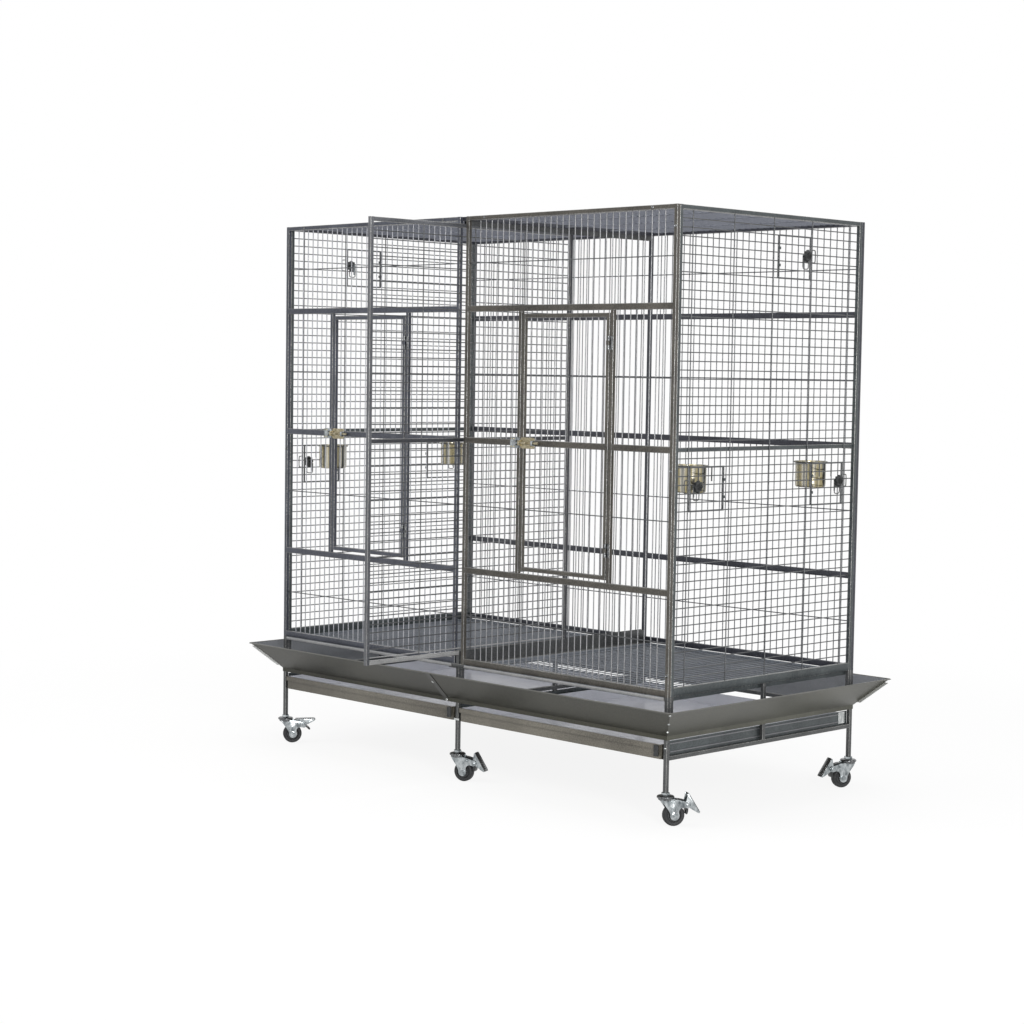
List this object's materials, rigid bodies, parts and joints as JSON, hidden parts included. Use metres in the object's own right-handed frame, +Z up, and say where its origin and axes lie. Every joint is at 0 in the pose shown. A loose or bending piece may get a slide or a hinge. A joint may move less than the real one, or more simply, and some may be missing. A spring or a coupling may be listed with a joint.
{
  "type": "parrot aviary cage",
  "caption": "Wide two-bay parrot cage of welded wire on a castered stand, with latched doors, feeder doors, a pull-out divider, grates, trays and sloping seed guards.",
  "frame": {"origin": "on the floor, under the middle of the cage's plan", "axes": "+X along the two bays to the right as seen from the front, +Y to the back, +Z up"},
  "size_m": [1.9423, 1.359, 1.7806],
  "materials": {
    "frame_coat": "dark grey hammered powder coat",
    "divider_coat": "grey hammered powder coat",
    "guard_coat": "olive grey powder coat",
    "tray_coat": "brown grey powder coat",
    "zinc": "bright zinc plate",
    "stainless": "polished stainless steel",
    "brass": "brass plate",
    "knob_black": "black plastic on a steel spindle",
    "tyre_black": "black rubber tread"
  },
  "bodies": {
    "cage": {"front_panel_left": "frame_coat", "front_panel_right": "frame_coat", "back_panels": "frame_coat", "side_panel_left": "frame_coat", "side_panel_right": "frame_coat", "roof_panels": "frame_coat", "stand_frame": "frame_coat", "runners": "frame_coat", "divider_tracks": "frame_coat", "door_hinges": "zinc", "latch_keepers": "brass", "feed_cups": "stainless", "seed_guard_front": "guard_coat", "seed_guard_back": "guard_coat", "seed_guard_left": "guard_coat", "seed_guard_right": "guard_coat", "guard_strips": "zinc"},
    "inner_door_left": {"door_left": "frame_coat", "latch_case_left": "brass"},
    "bolt_left": {"latch_bolt_left": "brass"},
    "inner_door_right": {"door_right": "frame_coat", "latch_case_right": "brass"},
    "bolt_right": {"latch_bolt_right": "brass"},
    "divider_panel": {"divider": "divider_coat"},
    "tray_left_body": {"tray_left": "tray_coat"},
    "tray_right_body": {"tray_right": "tray_coat"},
    "grate_left_body": {"grate_left": "frame_coat"},
    "grate_right_body": {"grate_right": "frame_coat"},
    "feeder_front_right_wire_door": {"feeder_front_door_right": "frame_coat"},
    "feeder_front_right_knob": {"feeder_front_knob_right": "knob_black"},
    "feeder_front_left_wire_door": {"feeder_front_door_left": "frame_coat"},
    "feeder_front_left_knob": {"feeder_front_knob_left": "knob_black"},
    "feeder_back_right_wire_door": {"feeder_back_door_right": "frame_coat"},
    "feeder_back_right_knob": {"feeder_back_knob_right": "knob_black"},
    "feeder_back_left_wire_door": {"feeder_back_door_left": "frame_coat"},
    "feeder_back_left_knob": {"feeder_back_knob_left": "knob_black"},
    "upper_right_wire_door": {"upper_door_right": "frame_coat"},
    "upper_right_knob": {"upper_knob_right": "knob_black"},
    "upper_left_wire_door": {"upper_door_left": "frame_coat"},
    "upper_left_knob": {"upper_knob_left": "knob_black"},
    "caster_front_left_swivel": {"caster_fork_front_left": "zinc"},
    "caster_front_left_roller": {"caster_wheel_front_left": "tyre_black"},
    "caster_front_left_pedal": {"caster_brake_front_left": "zinc"},
    "caster_front_centre_swivel": {"caster_fork_front_centre": "zinc"},
    "caster_front_centre_roller": {"caster_wheel_front_centre": "tyre_black"},
    "caster_front_centre_pedal": {"caster_brake_front_centre": "zinc"},
    "caster_front_right_swivel": {"caster_fork_front_right": "zinc"},
    "caster_front_right_roller": {"caster_wheel_front_right": "tyre_black"},
    "caster_front_right_pedal": {"caster_brake_front_right": "zinc"},
    "caster_back_left_swivel": {"caster_fork_back_left": "zinc"},
    "caster_back_left_roller": {"caster_wheel_back_left": "tyre_black"},
    "caster_back_left_pedal": {"caster_brake_back_left": "zinc"},
    "caster_back_centre_swivel": {"caster_fork_back_centre": "zinc"},
    "caster_back_centre_roller": {"caster_wheel_back_centre": "tyre_black"},
    "caster_back_centre_pedal": {"caster_brake_back_centre": "zinc"},
    "caster_back_right_swivel": {"caster_fork_back_right": "zinc"},
    "caster_back_right_roller": {"caster_wheel_back_right": "tyre_black"},
    "caster_back_right_pedal": {"caster_brake_back_right": "zinc"}
  },
  "joints": [
    {"name": "door_left_hinge", "type": "hinge", "parent": "cage", "child": "inner_door_left", "pos_m": [-0.26635, -0.449, 1.0837], "axis": [0, 0, 1], "range_deg": [0, 110]},
    {"name": "bolt_left_slide", "type": "slide", "parent": "inner_door_left", "child": "bolt_left", "axis": [-1, 0, 0], "range_m": [0, 0.024]},
    {"name": "door_right_hinge", "type": "hinge", "parent": "cage", "child": "inner_door_right", "pos_m": [0.63165, -0.449, 1.0837], "axis": [0, 0, 1], "range_deg": [0, 165]},
    {"name": "bolt_right_slide", "type": "slide", "parent": "inner_door_right", "child": "bolt_right", "axis": [-1, 0, 0], "range_m": [0, 0.024]},
    {"name": "divider_slide", "type": "slide", "parent": "cage", "child": "divider_panel", "axis": [0, -1, 0], "range_m": [-0.385, 0.3]},
    {"name": "tray_left_slide", "type": "slide", "parent": "cage", "child": "tray_left_body", "axis": [0, -1, 0], "range_m": [0, 0.7]},
    {"name": "tray_right_slide", "type": "slide", "parent": "cage", "child": "tray_right_body", "axis": [0, -1, 0], "range_m": [0, 0.7]},
    {"name": "grate_left_slide", "type": "slide", "parent": "cage", "child": "grate_left_body", "axis": [0, -1, 0], "range_m": [0, 0.7]},
    {"name": "grate_right_slide", "type": "slide", "parent": "cage", "child": "grate_right_body", "axis": [0, -1, 0], "range_m": [0, 0.7]},
    {"name": "feeder_front_door_right_hinge", "type": "hinge", "parent": "cage", "child": "feeder_front_right_wire_door", "pos_m": [0.87965, -0.2108, 0.9769], "axis": [0, 0, 1], "range_deg": [0, 150]},
    {"name": "feeder_front_knob_right_turn", "type": "hinge", "parent": "feeder_front_right_wire_door", "child": "feeder_front_right_knob", "pos_m": [0.87965, -0.3362, 0.9769], "axis": [-1, 0, 0], "range_deg": [0, 90]},
    {"name": "feeder_front_door_left_hinge", "type": "hinge", "parent": "cage", "child": "feeder_front_left_wire_door", "pos_m": [-0.87965, 0.2108, 0.9769], "axis": [0, 0, 1], "range_deg": [0, 150]},
    {"name": "feeder_front_knob_left_turn", "type": "hinge", "parent": "feeder_front_left_wire_door", "child": "feeder_front_left_knob", "pos_m": [-0.87965, 0.3362, 0.9769], "axis": [1, 0, 0], "range_deg": [0, 90]},
    {"name": "feeder_back_door_right_hinge", "type": "hinge", "parent": "cage", "child": "feeder_back_right_wire_door", "pos_m": [0.87965, 0.2108, 0.9769], "axis": [0, 0, -1], "range_deg": [0, 150]},
    {"name": "feeder_back_knob_right_turn", "type": "hinge", "parent": "feeder_back_right_wire_door", "child": "feeder_back_right_knob", "pos_m": [0.87965, 0.3362, 0.9769], "axis": [1, 0, 0], "range_deg": [0, 90]},
    {"name": "feeder_back_door_left_hinge", "type": "hinge", "parent": "cage", "child": "feeder_back_left_wire_door", "pos_m": [-0.87965, -0.2108, 0.9769], "axis": [0, 0, -1], "range_deg": [0, 150]},
    {"name": "feeder_back_knob_left_turn", "type": "hinge", "parent": "feeder_back_left_wire_door", "child": "feeder_back_left_knob", "pos_m": [-0.87965, -0.3362, 0.9769], "axis": [-1, 0, 0], "range_deg": [0, 90]},
    {"name": "upper_door_right_hinge", "type": "hinge", "parent": "cage", "child": "upper_right_wire_door", "pos_m": [0.87965, 0.0258, 1.6627], "axis": [0, 0, -1], "range_deg": [0, 150]},
    {"name": "upper_knob_right_turn", "type": "hinge", "parent": "upper_right_wire_door", "child": "upper_right_knob", "pos_m": [0.87965, 0.1512, 1.6627], "axis": [1, 0, 0], "range_deg": [0, 90]},
    {"name": "upper_door_left_hinge", "type": "hinge", "parent": "cage", "child": "upper_left_wire_door", "pos_m": [-0.87965, -0.0258, 1.6627], "axis": [0, 0, -1], "range_deg": [0, 150]},
    {"name": "upper_knob_left_turn", "type": "hinge", "parent": "upper_left_wire_door", "child": "upper_left_knob", "pos_m": [-0.87965, -0.1512, 1.6627], "axis": [-1, 0, 0], "range_deg": [0, 90]},
    {"name": "caster_front_left_swivel_turn", "type": "hinge", "parent": "cage", "child": "caster_front_left_swivel", "pos_m": [-0.87765, -0.43815, 0.086], "axis": [0, 0, 1], "continuous": true},
    {"name": "caster_front_left_wheel_turn", "type": "hinge", "parent": "caster_front_left_swivel", "child": "caster_front_left_roller", "pos_m": [-0.86493, -0.4178, 0.032], "axis": [-0.848, 0.5299, 0], "continuous": true},
    {"name": "caster_front_left_brake_turn", "type": "hinge", "parent": "caster_front_left_swivel", "child": "caster_front_left_pedal", "pos_m": [-0.84479, -0.38557, 0.062], "axis": [-0.848, 0.5299, 0], "range_deg": [0, 58]},
    {"name": "caster_front_centre_swivel_turn", "type": "hinge", "parent": "cage", "child": "caster_front_centre_swivel", "pos_m": [0, -0.43815, 0.086], "axis": [0, 0, 1], "continuous": true},
    {"name": "caster_front_centre_wheel_turn", "type": "hinge", "parent": "caster_front_centre_swivel", "child": "caster_front_centre_roller", "pos_m": [0.02225, -0.42916, 0.032], "axis": [-0.3746, 0.9272, 0], "continuous": true},
    {"name": "caster_front_centre_brake_turn", "type": "hinge", "parent": "caster_front_centre_swivel", "child": "caster_front_centre_pedal", "pos_m": [0.05749, -0.41492, 0.062], "axis": [-0.3746, 0.9272, 0], "range_deg": [-58, 0]},
    {"name": "caster_front_right_swivel_turn", "type": "hinge", "parent": "cage", "child": "caster_front_right_swivel", "pos_m": [0.87765, -0.43815, 0.086], "axis": [0, 0, 1], "continuous": true},
    {"name": "caster_front_right_wheel_turn", "type": "hinge", "parent": "caster_front_right_swivel", "child": "caster_front_right_roller", "pos_m": [0.89037, -0.4178, 0.032], "axis": [-0.848, 0.5299, 0], "continuous": true},
    {"name": "caster_front_right_brake_turn", "type": "hinge", "parent": "caster_front_right_swivel", "child": "caster_front_right_pedal", "pos_m": [0.91051, -0.38557, 0.062], "axis": [-0.848, 0.5299, 0], "range_deg": [-58, 0]},
    {"name": "caster_back_left_swivel_turn", "type": "hinge", "parent": "cage", "child": "caster_back_left_swivel", "pos_m": [-0.87765, 0.43815, 0.086], "axis": [0, 0, 1], "continuous": true},
    {"name": "caster_back_left_wheel_turn", "type": "hinge", "parent": "caster_back_left_swivel", "child": "caster_back_left_roller", "pos_m": [-0.89843, 0.42615, 0.032], "axis": [0.5, -0.866, 0], "continuous": true},
    {"name": "caster_back_left_brake_turn", "type": "hinge", "parent": "caster_back_left_swivel", "child": "caster_back_left_pedal", "pos_m": [-0.93134, 0.40715, 0.062], "axis": [0.5, -0.866, 0], "range_deg": [-58, 0]},
    {"name": "caster_back_centre_swivel_turn", "type": "hinge", "parent": "cage", "child": "caster_back_centre_swivel", "pos_m": [0, 0.43815, 0.086], "axis": [0, 0, 1], "continuous": true},
    {"name": "caster_back_centre_wheel_turn", "type": "hinge", "parent": "caster_back_centre_swivel", "child": "caster_back_centre_roller", "pos_m": [-0.01377, 0.41849, 0.032], "axis": [0.8192, -0.5736, 0], "continuous": true},
    {"name": "caster_back_centre_brake_turn", "type": "hinge", "parent": "caster_back_centre_swivel", "child": "caster_back_centre_pedal", "pos_m": [-0.03556, 0.38736, 0.062], "axis": [0.8192, -0.5736, 0], "range_deg": [-58, 0]},
    {"name": "caster_back_right_swivel_turn", "type": "hinge", "parent": "cage", "child": "caster_back_right_swivel", "pos_m": [0.87765, 0.43815, 0.086], "axis": [0, 0, 1], "continuous": true},
    {"name": "caster_back_right_wheel_turn", "type": "hinge", "parent": "caster_back_right_swivel", "child": "caster_back_right_roller", "pos_m": [0.86751, 0.4164, 0.032], "axis": [0.9063, -0.4226, 0], "continuous": true},
    {"name": "caster_back_right_brake_turn", "type": "hinge", "parent": "caster_back_right_swivel", "child": "caster_back_right_pedal", "pos_m": [0.85145, 0.38196, 0.062], "axis": [0.9063, -0.4226, 0], "range_deg": [-58, 0]}
  ]
}
